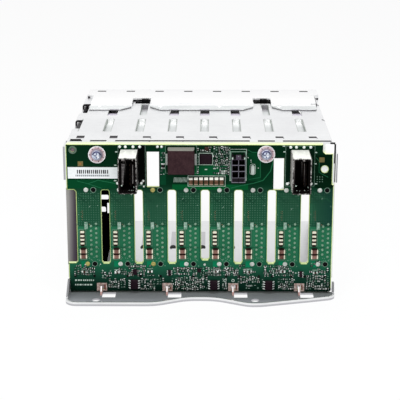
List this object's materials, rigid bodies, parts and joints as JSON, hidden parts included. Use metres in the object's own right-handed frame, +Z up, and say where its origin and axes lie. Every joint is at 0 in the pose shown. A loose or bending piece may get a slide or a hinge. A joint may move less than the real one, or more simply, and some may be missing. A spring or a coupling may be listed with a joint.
{
  "type": "drive cage with backplane board",
  "caption": "Sheet-metal cage for small server drives with its circuit board across the rear, drive receptacles inside, data and power connectors outside.",
  "frame": {"origin": "on the underside of the cage floor, midway across the cage, below the board's rear face", "axes": "+X across the bays, to the right as seen from the board side; +Y from the board towards the drive openings; +Z up"},
  "size_m": [0.1408, 0.1462, 0.0842],
  "materials": {
    "galvanised_steel": "galvanised sheet, faint grain",
    "rivet_steel": "plain",
    "filler_plastic": "fine moulded grain",
    "solder_mask": "green solder mask over copper",
    "gilt_contact": "gold flash",
    "solder": "bright solder",
    "tin_plate": "tin plate",
    "capacitor_ceramic": "brown ceramic",
    "connector_shell": "nickel plated",
    "connector_plastic": "black moulding",
    "inductor_body": "pressed powder",
    "copper": "tinned copper",
    "chip_body": "moulded epoxy",
    "washer_steel": "zinc plated",
    "screw_steel": "zinc plated",
    "label_paper": "coated label stock",
    "crystal_can": "metal can",
    "lamp_block": "pale moulding"
  },
  "bodies": {
    "root": {"cage_cover": "galvanised_steel", "cage_floor": "galvanised_steel", "cover_guides": "galvanised_steel", "floor_guides": "galvanised_steel", "front_frame": "galvanised_steel", "side_rivets": "rivet_steel", "frame_clinches": "rivet_steel", "bay_filler": "filler_plastic", "backplane_board": "solder_mask", "receptacle_contacts": "gilt_contact", "pin_tails": "solder", "solder_pegs": "solder", "column_capacitors": "capacitor_ceramic", "column_capacitor_ends": "tin_plate", "filter_capacitors": "capacitor_ceramic", "filter_capacitor_ends": "tin_plate", "data_shell_left": "connector_shell", "data_shell_right": "connector_shell", "data_housing_left": "connector_plastic", "data_housing_right": "connector_plastic", "data_contacts": "gilt_contact", "data_ground_joints": "solder", "power_housing": "connector_plastic", "power_pins": "tin_plate", "power_inductor": "inductor_body", "inductor_terminals": "copper", "controller_chip": "chip_body", "logic_chips": "chip_body", "chip_leads": "tin_plate", "grounding_pads": "copper", "screw_washers": "washer_steel", "board_screws": "screw_steel", "bar_label": "label_paper", "crystal": "crystal_can", "status_lamp_blocks": "lamp_block", "drive_receptacle_1": "connector_plastic", "drive_receptacle_2": "connector_plastic", "drive_receptacle_3": "connector_plastic", "drive_receptacle_4": "connector_plastic", "drive_receptacle_5": "connector_plastic", "drive_receptacle_6": "connector_plastic", "drive_receptacle_7": "connector_plastic", "drive_receptacle_8": "connector_plastic"}
  },
  "joints": []
}
